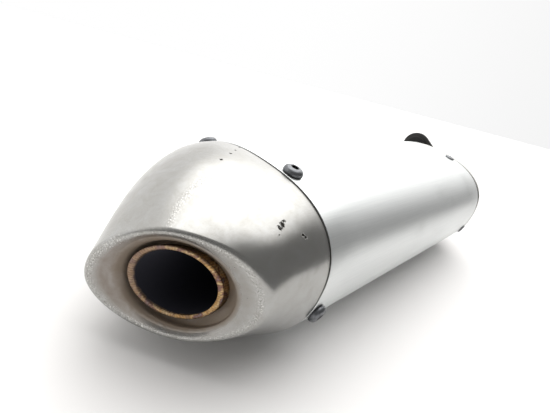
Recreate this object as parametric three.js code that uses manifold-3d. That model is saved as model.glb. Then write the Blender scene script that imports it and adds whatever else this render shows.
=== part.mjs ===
import * as THREE from "three";
import { mergeVertices } from "three/addons/utils/BufferGeometryUtils.js";
import Module from "manifold-3d";

const wasm = await Module();
wasm.setup();

// A motorcycle silencer with an oval sleeve. Millimetres and degrees.
// It lies along Y with the outlet facing -Y. X is the wide way of the oval and Z is up.
// Until the last lines, y = 0 is the outlet end of the sleeve, and x = z = 0 its middle.

// Driving sizes
const FIT_GAP = 0.3; // left between pieces that touch
const CUT_MARGIN = 1; // how far a cutting shape runs past the face it cuts
const OVAL_WIDTH = 120;
const OVAL_HEIGHT = 90;
const OVAL_POWER = 2.45; // 2 is an ellipse, a larger power is squarer
const OVAL_STEPS = 60;
const SLEEVE_LENGTH = 300;
const SLEEVE_WALL = 1.5;
const CAP_WALL = 1.8;
const SPIGOT_LENGTH = 20; // the part of each cap inside the sleeve
const EDGE_ROLL = 0.5; // small radius where a cap's skin meets its seal
const SEAL_WIDTH = 1;
const SEAL_INSET = 0.2;

const FACE_MIDDLE = -67; // y of the crest of the face, on the axis of the tube
const FACE_SLANT = 33.5; // the face is set back towards +X
const FACE_Z = -1.5;
const FACE_SHIFT = 3.5; // of the middle of the face from the tube, towards +X
const FACE_BORDER = 2.5; // above and below the neck
const FACE_END_BORDER = 10.5; // beside the neck
const FACE_POWER = 1.8;
const FACE_TILT = 22; // turns the long way of the face, lowering its -X end
const FACE_BEND = 2.6; // radius of the bend round the face
const FACE_BEND_GROWTH = 6; // the bend opens by this much at the +X end
const FACE_DISH = 1.5; // depth of the face at the edge of the neck
const SHOULDER_SHARE = 0.5; // where the taper starts, as a share of the cap's length
const SHOULDER_DROP = 0.25; // the taper starts this much sooner at the -X end
const SHOULDER_PULL = 0.75; // towards 1 the shoulder is tighter

const TUBE_X = 20;
const TUBE_Z = FACE_Z;
const TUBE_SETBACK = 3.5; // of the tube's edge behind the face
const TUBE_BORE = 32;
const TUBE_WALL = 1.5;
const TUBE_INSIDE = 30; // how far the outlet tube reaches into the sleeve
const LIP_RADIUS = 0.75;
const NECK_SHIFT = 2; // of the neck's axis from the tube's, towards +X
const NECK_CLEARANCE = 3.25; // from the tube's rolled edge to the neck, less the shift
const NECK_BEND = 2;
const NECK_DEPTH = 5; // of the recess round the tube, past its rounded edge
const COLLAR_LENGTH = 6;
const ROUND_STEPS = 36; // facets of the pipes
const SMALL_STEPS = 18; // facets of the screws, nuts and rivets

const CORE_WALL = 1.2;
const CORE_OVERLAP = 18;
const CORE_HOLE = 5;
const CORE_HOLES_ROUND = 6;
const CORE_HOLE_PITCH = 24;
const PACKING_END_GAP = 2;

const INLET_RIM = 4;
const INLET_BEND = 10;
const INLET_PIPE_WALL = 1.5;
const INLET_PIPE_INSIDE = 30;
const INLET_PIPE_OUTSIDE = 32; // beyond the end plate
const INLET_SLOT_WIDTH = 3;
const INLET_SLOT_LENGTH = 20;

const FIXING_ANGLES = [143, 82, -13, -138];
const FIXING_FROM_END = 6.5;
const SCREW_HEAD = 11.5;
const SCREW_HEAD_HEIGHT = 3.6;
const SCREW_SHANK = 6;
const SCREW_LENGTH = 12;
const SCREW_KEY = 4; // across the flats of the socket
const SCREW_KEY_DEPTH = 2.2;
const SCREW_CHAMFER = 0.6; // at the tip of the shank
const NUT_DIAMETER = 12;
const NUT_HEIGHT = 5;
const BLIND_SHANK = 4.8; // blind rivets at the inlet end
const BLIND_HEAD = 9.6;
const BLIND_HEAD_HEIGHT = 1.3;
const BLIND_TAIL = 7.5;
const BLIND_TAIL_HEIGHT = 4;

const BRACKET_ANGLE = 137;
const BRACKET_PLATE = 3;
const BRACKET_END = 31.4; // width of the round end
const BRACKET_FOOT = 50; // width of the foot
const BRACKET_RISE = 13;
const FOOT_START_DEPTH = 39; // these four are measured in from the oval at the bracket
const RIVET_DEPTH = 32;
const FOOT_END_DEPTH = 19;
const EAR_DEPTH = 6.2;
const RIVET_SPACING = 14;
const RIVET_SHANK = 4.8;
const RIVET_HEAD = 8.5;
const RIVET_HEAD_HEIGHT = 1.6;
const RIVET_CHAMFER = 0.5;
const GROMMET_BORE = 12;
const GROMMET_WAIST = 17;
const GROMMET_FLANGE = 23;
const GROMMET_FLANGE_HEIGHT = 2;
const BUSH_BORE = 8.4;
const BUSH_FLANGE = 18;
const BUSH_FLANGE_HEIGHT = 1.2;

// Colours and finishes
const BRUSHED = { color: 0xd4d8da, roughness: 0.38, metalness: 1 };
const PRESSED = { color: 0xc9c9c6, roughness: 0.3, metalness: 1 };
const SEALANT = { color: 0x33332e, roughness: 0.8, metalness: 0 };
const TINTED = { color: 0xb58a5e, roughness: 0.42, metalness: 1 };
const STEEL = { color: 0x9a9da0, roughness: 0.4, metalness: 1 };
const PAINTED = { color: 0x1c1c1b, roughness: 0.55, metalness: 0 };
const RUBBER = { color: 0x161616, roughness: 0.85, metalness: 0 };
const GLASS_WOOL = { color: 0xe3d9a8, roughness: 1, metalness: 0 };

// Sizes that follow from the ones above
const sealSpace = SEAL_WIDTH + 2 * FIT_GAP;
const boreRadius = TUBE_BORE / 2;
const tubeRadius = boreRadius + TUBE_WALL;
const collarRadius = tubeRadius + FIT_GAP;
const neckX = TUBE_X + NECK_SHIFT;
const neckRadius = tubeRadius + LIP_RADIUS + NECK_CLEARANCE;
const faceX = TUBE_X + FACE_SHIFT;
const bracketTurn = THREE.MathUtils.degToRad(BRACKET_ANGLE);
const bracketReach =
  (Math.abs(Math.cos(bracketTurn) / (OVAL_WIDTH / 2)) ** OVAL_POWER +
    Math.abs(Math.sin(bracketTurn) / (OVAL_HEIGHT / 2)) ** OVAL_POWER) **
  (-1 / OVAL_POWER);
const footStart = bracketReach - FOOT_START_DEPTH;
const footEnd = bracketReach - FOOT_END_DEPTH;
const rivetDistance = bracketReach - RIVET_DEPTH;
const earDistance = bracketReach - EAR_DEPTH;
const faceHalfWidth = neckRadius + NECK_BEND + FACE_END_BORDER;
const faceHalfHeight = neckRadius + NECK_BEND + FACE_BORDER;
const coreBore = tubeRadius + FIT_GAP;
const coreRadius = coreBore + CORE_WALL;
const inletBore = coreRadius + FIT_GAP;
const inletRadius = inletBore + INLET_PIPE_WALL;
const inletEdge = SLEEVE_LENGTH + sealSpace;
const plateY = inletEdge + INLET_RIM + INLET_BEND;
const coreStart = TUBE_INSIDE - CORE_OVERLAP;
const coreEnd = SLEEVE_LENGTH - INLET_PIPE_INSIDE + CORE_OVERLAP;
const spigotInset = SLEEVE_WALL + FIT_GAP;
const slant = THREE.MathUtils.degToRad(FACE_SLANT);
const quarterBend = 1 - Math.SQRT1_2; // share of the radius at the middle of a quarter bend
const faceOut = new THREE.Vector3(Math.sin(slant), -Math.cos(slant), 0);

const group = new THREE.Group();

function addMesh(name, geometry, finish, parent = group) {
  const mesh = new THREE.Mesh(geometry, new THREE.MeshStandardMaterial(finish));
  mesh.name = name;
  parent.add(mesh);
  return mesh;
}

function toSolid(geometry) {
  const plain = geometry.clone();
  plain.deleteAttribute("normal");
  plain.deleteAttribute("uv");
  const merged = mergeVertices(plain, 1e-4);
  return new wasm.Manifold(
    new wasm.Mesh({
      numProp: 3,
      vertProperties: new Float32Array(merged.attributes.position.array),
      triVerts: new Uint32Array(merged.index.array),
    }),
  );
}

function toGeometry(solid) {
  const mesh = solid.getMesh();
  const geometry = new THREE.BufferGeometry();
  geometry.setAttribute("position", new THREE.BufferAttribute(mesh.vertProperties, 3));
  geometry.setIndex(new THREE.BufferAttribute(mesh.triVerts, 1));
  geometry.computeVertexNormals();
  return geometry;
}

// A round bar along Y between two heights, moved by a matrix when one is given.
function roundBar(radius, from, to, steps, matrix) {
  const bar = new THREE.CylinderGeometry(radius, radius, to - from, steps);
  bar.translate(0, (from + to) / 2, 0);
  if (matrix) bar.applyMatrix4(matrix);
  return toSolid(bar);
}

// A point on an oval drawn inset from the sleeve's outside by the given amount.
function ovalPoint(angle, inset, y) {
  const c = Math.cos(angle);
  const s = Math.sin(angle);
  const x = (OVAL_WIDTH / 2 - inset) * Math.sign(c) * Math.abs(c) ** (2 / OVAL_POWER);
  const z = (OVAL_HEIGHT / 2 - inset) * Math.sign(s) * Math.abs(s) ** (2 / OVAL_POWER);
  return new THREE.Vector3(x, y, z);
}

function ovalNormal(angle) {
  const step = 1e-3;
  const along = ovalPoint(angle + step, 0, 0).sub(ovalPoint(angle - step, 0, 0));
  return new THREE.Vector3(along.z, 0, -along.x).normalize();
}

function eachAngle(make, steps = OVAL_STEPS) {
  return Array.from({ length: steps }, (_, i) => make((2 * Math.PI * i) / steps));
}

function ovalRing(inset, y) {
  return eachAngle((angle) => ovalPoint(angle, inset, y));
}

// A closed skin through rings of points: each ring joins the next, the last joins the first.
function ringSolid(rings) {
  const count = rings[0].length;
  const index = [];
  for (let i = 0; i < rings.length; i++) {
    const here = i * count;
    const next = ((i + 1) % rings.length) * count;
    for (let j = 0; j < count; j++) {
      const k = (j + 1) % count;
      index.push(here + j, next + j, next + k);
      index.push(here + j, next + k, here + k);
    }
  }
  const geometry = new THREE.BufferGeometry().setFromPoints(rings.flat());
  geometry.setIndex(index);
  geometry.computeVertexNormals();
  return geometry;
}

// The same rings moved at right angles to the surface they make.
function offsetRings(rings, distance) {
  const count = rings[0].length;
  return rings.map((ring, i) => {
    const before = rings[Math.max(i - 1, 0)];
    const after = rings[Math.min(i + 1, rings.length - 1)];
    return ring.map((point, j) => {
      const forward = after[j].clone().sub(before[j]);
      const round = ring[(j + 1) % count].clone().sub(ring[(j + count - 1) % count]);
      const normal = forward.cross(round).normalize();
      return point.clone().addScaledVector(normal, distance);
    });
  });
}

function faceY(x) {
  return FACE_MIDDLE + Math.tan(slant) * (x - TUBE_X);
}

// How far the bend round the face has opened at one angle.
function bendGrowth(angle) {
  return FACE_BEND_GROWTH * Math.max(0, Math.cos(angle)) ** 4;
}

// The crest of the bend round the outlet face, a tilted lens shape. A wider bend draws it in by half.
function crestPoint(angle) {
  const c = Math.cos(angle);
  const s = Math.sin(angle);
  const halfWidth = faceHalfWidth - bendGrowth(angle) / 2;
  const point = new THREE.Vector2(
    halfWidth * Math.sign(c) * Math.abs(c) ** (2 / FACE_POWER),
    faceHalfHeight * Math.sign(s) * Math.abs(s) ** (2 / FACE_POWER),
  ).rotateAround(new THREE.Vector2(), THREE.MathUtils.degToRad(FACE_TILT));
  return new THREE.Vector3(faceX + point.x, faceY(faceX + point.x), FACE_Z + point.y);
}

// The outside of the outlet cap at one angle, from its seal round the face and into the neck.
function outletProfile(angle) {
  const start = ovalPoint(angle, 0, -sealSpace - EDGE_ROLL);
  const crest = crestPoint(angle);
  const shoulder = start.clone();
  shoulder.y = crest.y * (SHOULDER_SHARE - SHOULDER_DROP * Math.min(0, Math.cos(angle)) ** 2);
  const step = 1e-3;
  const along = crestPoint(angle + step).sub(crestPoint(angle - step));
  const outward = along.cross(faceOut).normalize();
  const side = shoulder.clone().sub(crest).normalize();
  const bendEnd = Math.atan2(-side.dot(faceOut), side.dot(outward));
  const bendRadius = FACE_BEND + bendGrowth(angle);
  const bendMiddle = crest.clone().addScaledVector(faceOut, -bendRadius);
  const onBend = (turn) =>
    bendMiddle
      .clone()
      .addScaledVector(faceOut, bendRadius * Math.cos(turn))
      .addScaledVector(outward, bendRadius * Math.sin(turn));
  const end = onBend(bendEnd);
  const reach = SHOULDER_PULL * end.distanceTo(shoulder);
  const taper = new THREE.CubicBezierCurve3(
    start,
    start.clone().lerp(shoulder, SHOULDER_PULL),
    end
      .clone()
      .addScaledVector(faceOut, -reach * Math.sin(bendEnd))
      .addScaledVector(outward, reach * Math.cos(bendEnd)),
    end,
  );
  const bend = [0.75, 0.5, 0.25, 0].map((share) => onBend(bendEnd * share));
  const onCircle = (middleX, middleZ, radius, depth) => {
    const round = Math.atan2(crest.z - middleZ, crest.x - middleX);
    const x = middleX + radius * Math.cos(round);
    return new THREE.Vector3(x, faceY(x) + depth, middleZ + radius * Math.sin(round));
  };
  const onNeck = (radius, depth) => onCircle(neckX, FACE_Z, radius, depth);
  const onCollar = (radius, depth) => onCircle(TUBE_X, TUBE_Z, radius, depth);
  const lip = onNeck(neckRadius + NECK_BEND, 0);
  const dish = [0.25, 0.5, 0.75].map((share) => {
    const point = crest.clone().lerp(lip, share);
    point.y += FACE_DISH * share ** 1.6;
    return point;
  });
  const neckEnd = FACE_DISH + NECK_BEND + NECK_DEPTH;
  const funnel = neckRadius - collarRadius;
  const neck = [
    onNeck(neckRadius + NECK_BEND, FACE_DISH),
    onNeck(neckRadius + NECK_BEND * quarterBend, FACE_DISH + NECK_BEND * quarterBend),
    onNeck(neckRadius, FACE_DISH + NECK_BEND),
    onNeck(neckRadius, neckEnd - funnel),
    onCollar(collarRadius + funnel * quarterBend, neckEnd - funnel * quarterBend),
    onCollar(collarRadius, neckEnd),
    onCollar(collarRadius, neckEnd + COLLAR_LENGTH),
  ];
  return [...taper.getPoints(7), ...bend, ...dish, ...neck];
}

// The outside of the inlet cap at one angle, from its seal round the end plate to its collar.
function inletProfile(angle) {
  const bend = [0, 0.25, 0.5, 0.75, 1].map((share) => {
    const turn = (Math.PI / 2) * share;
    const y = inletEdge + INLET_RIM + INLET_BEND * Math.sin(turn);
    return ovalPoint(angle, INLET_BEND * (1 - Math.cos(turn)), y);
  });
  const edge = bend.at(-1);
  const round = Math.atan2(edge.z - TUBE_Z, edge.x - TUBE_X);
  const outside = inletRadius + FIT_GAP + CAP_WALL;
  const onCollar = (radius, y) =>
    new THREE.Vector3(TUBE_X + radius * Math.cos(round), y, TUBE_Z + radius * Math.sin(round));
  return [
    ovalPoint(angle, 0, inletEdge + EDGE_ROLL),
    ...bend,
    onCollar(outside + NECK_BEND, plateY),
    onCollar(outside + NECK_BEND * quarterBend, plateY + NECK_BEND * quarterBend),
    onCollar(outside, plateY + NECK_BEND),
    onCollar(outside, plateY + NECK_BEND + COLLAR_LENGTH),
  ];
}

// A cap is a skin with a spigot that slides into the sleeve. direction is +1 away from the sleeve.
// Its inside follows one ring of the outside in every innerStep.
function makeCap(profile, end, direction, innerStep) {
  const profiles = eachAngle(profile);
  const skin = profiles[0].map((_, i) => profiles.map((points) => points[i]));
  const inner = offsetRings(skin, -direction * CAP_WALL)
    .filter((_, i) => i % innerStep === 0 || i === skin.length - 1)
    .reverse();
  const shoulder = end + direction * sealSpace;
  const tip = end - direction * SPIGOT_LENGTH;
  const rings = [
    ovalRing(spigotInset, tip),
    ovalRing(spigotInset, shoulder),
    ovalRing(EDGE_ROLL, shoulder),
    ...skin,
    ...inner,
    ovalRing(spigotInset + CAP_WALL, shoulder),
    ovalRing(spigotInset + CAP_WALL, tip),
  ];
  return ringSolid(direction > 0 ? rings : rings.reverse());
}

function ovalShape(inset) {
  const points = ovalRing(inset, 0).map((point) => new THREE.Vector2(point.x, -point.z));
  return points.reverse();
}

// A straight oval bar between two heights, with a hole along it when one is given.
function ovalBar(inset, hole, from, to) {
  const shape = new THREE.Shape(ovalShape(inset));
  if (hole) shape.holes.push(new THREE.Path(hole));
  const depth = to - from;
  const bar = new THREE.ExtrudeGeometry(shape, { depth, bevelEnabled: false });
  return bar.rotateX(-Math.PI / 2).translate(0, from, 0);
}

function outlineLathe(points, steps) {
  return new THREE.LatheGeometry(points.map(([r, y]) => new THREE.Vector2(r, y)), steps);
}

// Turns local +Y to point out of the sleeve, with the origin on the sleeve's outside.
function placeOnSleeve(degrees, y) {
  const angle = THREE.MathUtils.degToRad(degrees);
  const turn = new THREE.Quaternion();
  turn.setFromUnitVectors(new THREE.Vector3(0, 1, 0), ovalNormal(angle));
  return new THREE.Matrix4().compose(ovalPoint(angle, 0, y), turn, new THREE.Vector3(1, 1, 1));
}

const screwPlaces = FIXING_ANGLES.map((angle) => placeOnSleeve(angle, FIXING_FROM_END));
const blindPlaces = FIXING_ANGLES.map((angle) =>
  placeOnSleeve(angle, SLEEVE_LENGTH - FIXING_FROM_END),
);
const shankHoles = [
  ...screwPlaces.map((matrix) => ({ matrix, radius: SCREW_SHANK / 2 + FIT_GAP })),
  ...blindPlaces.map((matrix) => ({ matrix, radius: BLIND_SHANK / 2 + FIT_GAP })),
].map(({ matrix, radius }) =>
  roundBar(radius, -SCREW_LENGTH, SCREW_HEAD_HEIGHT, SMALL_STEPS, matrix),
);

function cutShankHoles(geometry) {
  return toGeometry(shankHoles.reduce((solid, hole) => solid.subtract(hole), toSolid(geometry)));
}

// Sleeve, caps and seals
const sleeve = ovalBar(0, ovalShape(SLEEVE_WALL), 0, SLEEVE_LENGTH);
addMesh("sleeve", cutShankHoles(sleeve), BRUSHED);
addMesh("outlet_cap", cutShankHoles(makeCap(outletProfile, 0, -1, 2)), PRESSED);

const bracket = new THREE.Group();
bracket.rotation.y = -bracketTurn;
bracket.position.y = plateY;
group.add(bracket);
bracket.updateMatrixWorld(true);
const rivetSpots = [-1, 1].map((side) => (side * RIVET_SPACING) / 2);
const rivetHoles = rivetSpots.map((z) => {
  const matrix = new THREE.Matrix4().makeTranslation(rivetDistance, 0, z).premultiply(bracket.matrix);
  return roundBar(RIVET_SHANK / 2 + FIT_GAP, -2 * CAP_WALL, 2 * CAP_WALL, SMALL_STEPS, matrix);
});
const inletCap = toSolid(cutShankHoles(makeCap(inletProfile, SLEEVE_LENGTH, 1, 1)));
addMesh(
  "inlet_cap",
  toGeometry(rivetHoles.reduce((solid, hole) => solid.subtract(hole), inletCap)),
  PRESSED,
);

for (const [name, from] of [
  ["outlet_seal", -FIT_GAP - SEAL_WIDTH],
  ["inlet_seal", SLEEVE_LENGTH + FIT_GAP],
]) {
  const seal = ovalBar(SEAL_INSET, ovalShape(spigotInset - FIT_GAP), from, from + SEAL_WIDTH);
  addMesh(name, seal, SEALANT);
}

// Gas path: outlet tube, perforated core, inlet pipe, all round one axis
const gasPath = new THREE.Group();
gasPath.position.set(TUBE_X, 0, TUBE_Z);
group.add(gasPath);

// The tube is cut to the slant of the outlet face, and its edge is rolled outwards.
const tubeProfile = [
  [boreRadius, TUBE_INSIDE, false],
  [boreRadius, LIP_RADIUS, true],
  [boreRadius + LIP_RADIUS * quarterBend, LIP_RADIUS * quarterBend, true],
  [boreRadius + LIP_RADIUS, 0, true],
  [tubeRadius, 0, true],
  [tubeRadius + LIP_RADIUS * (1 - quarterBend), LIP_RADIUS * quarterBend, true],
  [tubeRadius + LIP_RADIUS, LIP_RADIUS, true],
  [tubeRadius + LIP_RADIUS * (1 - quarterBend), LIP_RADIUS * (2 - quarterBend), true],
  [tubeRadius, LIP_RADIUS * 2, true],
  [tubeRadius, TUBE_INSIDE, false],
];
const tubeRings = tubeProfile.map(([radius, y, followsFace]) =>
  eachAngle((angle) => {
    const x = radius * Math.cos(angle);
    const from = followsFace ? faceY(TUBE_X + x) + TUBE_SETBACK : 0;
    return new THREE.Vector3(x, from + y, radius * Math.sin(angle));
  }, ROUND_STEPS),
);
addMesh("outlet_tube", ringSolid(tubeRings), TINTED, gasPath);

const corePipe = outlineLathe(
  [
    [coreBore, coreStart],
    [coreRadius, coreStart],
    [coreRadius, coreEnd],
    [coreBore, coreEnd],
    [coreBore, coreStart],
  ],
  ROUND_STEPS,
);
let core = toSolid(corePipe);
const holeRows = Math.floor((SLEEVE_LENGTH - TUBE_INSIDE - INLET_PIPE_INSIDE) / CORE_HOLE_PITCH);
const firstRow = (SLEEVE_LENGTH - (holeRows - 1) * CORE_HOLE_PITCH) / 2;
for (let row = 0; row < holeRows; row++) {
  for (let i = 0; i < CORE_HOLES_ROUND; i++) {
    const turn = (2 * Math.PI * (i + (row % 2) / 2)) / CORE_HOLES_ROUND;
    const matrix = new THREE.Matrix4()
      .makeTranslation(0, firstRow + row * CORE_HOLE_PITCH, 0)
      .multiply(new THREE.Matrix4().makeRotationY(turn))
      .multiply(new THREE.Matrix4().makeRotationX(Math.PI / 2));
    core = core.subtract(roundBar(CORE_HOLE / 2, 0, coreRadius * 2, 8, matrix));
  }
}
addMesh("perforated_core", toGeometry(core), STEEL, gasPath);

const pipeEnd = plateY + INLET_PIPE_OUTSIDE;
const pipe = outlineLathe(
  [
    [inletBore, SLEEVE_LENGTH - INLET_PIPE_INSIDE],
    [inletRadius, SLEEVE_LENGTH - INLET_PIPE_INSIDE],
    [inletRadius, pipeEnd],
    [inletBore, pipeEnd],
    [inletBore, SLEEVE_LENGTH - INLET_PIPE_INSIDE],
  ],
  ROUND_STEPS,
);
const slot = new THREE.BoxGeometry(INLET_SLOT_WIDTH, 2 * INLET_SLOT_LENGTH, 3 * inletRadius);
slot.translate(0, pipeEnd, 0);
addMesh("inlet_pipe", toGeometry(toSolid(pipe).subtract(toSolid(slot))), STEEL, gasPath);

// Glass wool fills the sleeve between the two spigots, round the core.
const packingHole = eachAngle((angle) => {
  const radius = inletRadius + FIT_GAP;
  return new THREE.Vector2(TUBE_X + radius * Math.cos(angle), radius * Math.sin(angle) - TUBE_Z);
}, ROUND_STEPS);
const packing = ovalBar(
  SLEEVE_WALL + FIT_GAP,
  packingHole,
  SPIGOT_LENGTH + PACKING_END_GAP,
  SLEEVE_LENGTH - SPIGOT_LENGTH - PACKING_END_GAP,
);
addMesh("glass_wool_packing", packing, GLASS_WOOL);

// Button-head screws through the sleeve and the outlet spigot, with round nuts inside the spigot
const headRadius = SCREW_HEAD / 2;
const headProfile = [0, 0.25, 0.5, 0.75, 1].map((share) => {
  const turn = (Math.PI / 2) * share;
  const radius = headRadius * (0.5 + 0.5 * Math.cos(turn));
  return [radius, FIT_GAP + SCREW_HEAD_HEIGHT * (0.2 + 0.8 * Math.sin(turn))];
});
const screwShape = outlineLathe(
  [
    [0, -SCREW_LENGTH],
    [SCREW_SHANK / 2 - SCREW_CHAMFER, -SCREW_LENGTH],
    [SCREW_SHANK / 2, SCREW_CHAMFER - SCREW_LENGTH],
    [SCREW_SHANK / 2, FIT_GAP],
    [headRadius, FIT_GAP],
    ...headProfile,
    [0, FIT_GAP + SCREW_HEAD_HEIGHT],
  ],
  SMALL_STEPS,
);
const headTop = FIT_GAP + SCREW_HEAD_HEIGHT;
const key = roundBar(SCREW_KEY / Math.sqrt(3), headTop - SCREW_KEY_DEPTH, headTop + CUT_MARGIN, 6);
const screw = toGeometry(toSolid(screwShape).subtract(key));
const insideSpigots = toSolid(
  ovalBar(spigotInset + CAP_WALL + FIT_GAP, null, -SPIGOT_LENGTH, SLEEVE_LENGTH + SPIGOT_LENGTH),
);
const spigotDepth = spigotInset + CAP_WALL;
screwPlaces.forEach((matrix, i) => {
  const mesh = addMesh("outlet_screw_" + (i + 1), screw, STEEL);
  matrix.decompose(mesh.position, mesh.quaternion, mesh.scale);
  const shank = SCREW_SHANK / 2 + FIT_GAP;
  const nut = roundBar(NUT_DIAMETER / 2, -spigotDepth - NUT_HEIGHT, 0, SMALL_STEPS, matrix)
    .subtract(roundBar(shank, -2 * SCREW_LENGTH, CUT_MARGIN, SMALL_STEPS, matrix))
    .intersect(insideSpigots);
  addMesh("outlet_nut_" + (i + 1), toGeometry(nut), STEEL);
});

// Blind rivets hold the inlet cap: a low head outside and a swollen tail inside the spigot
const tailTop = -spigotDepth - FIT_GAP;
const blindRivet = outlineLathe(
  [
    [0, tailTop - BLIND_TAIL_HEIGHT],
    [BLIND_SHANK / 2, tailTop - BLIND_TAIL_HEIGHT],
    [BLIND_TAIL / 2, tailTop - BLIND_TAIL_HEIGHT / 2],
    [BLIND_SHANK / 2, tailTop],
    [BLIND_SHANK / 2, FIT_GAP],
    [BLIND_HEAD / 2, FIT_GAP],
    [BLIND_HEAD / 2, FIT_GAP + BLIND_HEAD_HEIGHT / 3],
    [BLIND_HEAD / 3, FIT_GAP + BLIND_HEAD_HEIGHT * 0.8],
    [BLIND_HEAD / 6, FIT_GAP + BLIND_HEAD_HEIGHT],
    [0, FIT_GAP + BLIND_HEAD_HEIGHT],
  ],
  SMALL_STEPS,
);
blindPlaces.forEach((matrix, i) => {
  const mesh = addMesh("inlet_rivet_" + (i + 1), blindRivet, STEEL);
  matrix.decompose(mesh.position, mesh.quaternion, mesh.scale);
});

// Mounting bracket on the end plate. In its own frame +X points away from the middle of the oval.
const footY = FIT_GAP;
const earY = footY + BRACKET_RISE;
const endRadius = BRACKET_END / 2;
const riserX = footEnd - BRACKET_PLATE;
const bracketOutline = new THREE.Shape(
  [
    [footStart, footY],
    [footEnd, footY],
    [footEnd, earY - BRACKET_PLATE],
    [earDistance + endRadius, earY - BRACKET_PLATE],
    [earDistance + endRadius, earY],
    [riserX, earY],
    [riserX, footY + BRACKET_PLATE],
    [footStart, footY + BRACKET_PLATE],
  ].map(([x, y]) => new THREE.Vector2(x, y)),
);
const asStrip = { depth: BRACKET_FOOT, bevelEnabled: false };
const strip = new THREE.ExtrudeGeometry(bracketOutline, asStrip);
strip.translate(0, 0, -BRACKET_FOOT / 2);
const atEar = new THREE.Matrix4().makeTranslation(earDistance, 0, 0);
const roundEnd = roundBar(endRadius, -CUT_MARGIN, earY + CUT_MARGIN, ROUND_STEPS, atEar);
const footCutter = new THREE.BoxGeometry(CUT_MARGIN, earY + 2 * CUT_MARGIN, BRACKET_FOOT);
footCutter.translate(footStart, earY / 2, 0);
const tapered = wasm.Manifold.hull([roundEnd, toSolid(footCutter)]);
let plate = toSolid(strip).intersect(tapered);
const earHole = GROMMET_WAIST / 2 + FIT_GAP;
plate = plate.subtract(roundBar(earHole, -CUT_MARGIN, earY + CUT_MARGIN, ROUND_STEPS, atEar));
for (const z of rivetSpots) {
  const matrix = new THREE.Matrix4().makeTranslation(rivetDistance, 0, z);
  plate = plate.subtract(roundBar(RIVET_SHANK / 2 + FIT_GAP, -CUT_MARGIN, earY, SMALL_STEPS, matrix));
}
addMesh("mount_bracket", toGeometry(plate), PAINTED, bracket);

const rivetTop = footY + BRACKET_PLATE + FIT_GAP;
const rivetBottom = -CAP_WALL - FIT_GAP;
const rivet = outlineLathe(
  [
    [0, rivetBottom - RIVET_HEAD_HEIGHT],
    [RIVET_HEAD / 2, rivetBottom - RIVET_HEAD_HEIGHT],
    [RIVET_HEAD / 2, rivetBottom],
    [RIVET_SHANK / 2, rivetBottom],
    [RIVET_SHANK / 2, rivetTop],
    [RIVET_HEAD / 2, rivetTop],
    [RIVET_HEAD / 2 - RIVET_CHAMFER, rivetTop + RIVET_HEAD_HEIGHT - RIVET_CHAMFER],
    [RIVET_HEAD / 4, rivetTop + RIVET_HEAD_HEIGHT],
    [0, rivetTop + RIVET_HEAD_HEIGHT],
  ],
  SMALL_STEPS,
);
rivetSpots.forEach((z, i) => {
  addMesh("bracket_rivet_" + (i + 1), rivet, STEEL, bracket).position.set(rivetDistance, 0, z);
});

const earMiddle = earY - BRACKET_PLATE / 2;
const waist = BRACKET_PLATE / 2 + FIT_GAP;
const grommetEnd = waist + GROMMET_FLANGE_HEIGHT;
const grommet = outlineLathe(
  [
    [GROMMET_BORE / 2, -grommetEnd],
    [GROMMET_FLANGE / 2, -grommetEnd],
    [GROMMET_FLANGE / 2, -waist],
    [GROMMET_WAIST / 2, -waist],
    [GROMMET_WAIST / 2, waist],
    [GROMMET_FLANGE / 2, waist],
    [GROMMET_FLANGE / 2, grommetEnd],
    [GROMMET_BORE / 2, grommetEnd],
    [GROMMET_BORE / 2, -grommetEnd],
  ],
  ROUND_STEPS,
);
addMesh("mount_grommet", grommet, RUBBER, bracket).position.set(earDistance, earMiddle, 0);

const bushRadius = GROMMET_BORE / 2 - FIT_GAP;
const bushFlange = grommetEnd + FIT_GAP;
const bush = outlineLathe(
  [
    [BUSH_BORE / 2, -bushFlange],
    [bushRadius, -bushFlange],
    [bushRadius, bushFlange],
    [BUSH_FLANGE / 2, bushFlange],
    [BUSH_FLANGE / 2, bushFlange + BUSH_FLANGE_HEIGHT],
    [BUSH_BORE / 2, bushFlange + BUSH_FLANGE_HEIGHT],
    [BUSH_BORE / 2, -bushFlange],
  ],
  ROUND_STEPS,
);
addMesh("mount_bush", bush, STEEL, bracket).position.set(earDistance, earMiddle, 0);

// The origin is moved to the middle of the underside of the whole silencer.
const bounds = new THREE.Box3().setFromObject(group, true);
const middle = bounds.getCenter(new THREE.Vector3());
group.position.set(-middle.x, -middle.y, -bounds.min.z);

export default group;
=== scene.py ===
import math

import bmesh
import bpy
import numpy as np
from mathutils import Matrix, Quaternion, Vector


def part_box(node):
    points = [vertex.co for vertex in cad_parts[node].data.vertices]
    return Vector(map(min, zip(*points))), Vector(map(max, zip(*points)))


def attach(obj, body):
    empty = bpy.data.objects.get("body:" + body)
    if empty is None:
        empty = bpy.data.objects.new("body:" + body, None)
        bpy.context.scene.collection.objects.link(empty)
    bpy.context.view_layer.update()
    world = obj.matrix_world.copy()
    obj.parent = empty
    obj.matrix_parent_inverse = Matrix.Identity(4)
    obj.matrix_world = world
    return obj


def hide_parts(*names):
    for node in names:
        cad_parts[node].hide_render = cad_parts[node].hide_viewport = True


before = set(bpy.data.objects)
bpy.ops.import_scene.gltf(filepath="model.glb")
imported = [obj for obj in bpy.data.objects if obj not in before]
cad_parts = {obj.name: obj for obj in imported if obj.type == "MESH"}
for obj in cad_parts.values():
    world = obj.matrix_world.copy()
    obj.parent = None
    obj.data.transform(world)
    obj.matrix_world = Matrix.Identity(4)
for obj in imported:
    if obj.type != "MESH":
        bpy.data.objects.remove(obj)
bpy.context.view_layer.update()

mm = 0.001

# The middle of the sleeve's outlet end: every place below is measured from here, in mm
sleeveLow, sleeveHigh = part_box("sleeve")
start = np.array([(sleeveLow[0] + sleeveHigh[0]) / 2, sleeveLow[1], (sleeveLow[2] + sleeveHigh[2]) / 2])
print("frame loaded,", len(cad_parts), "nodes")

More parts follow.
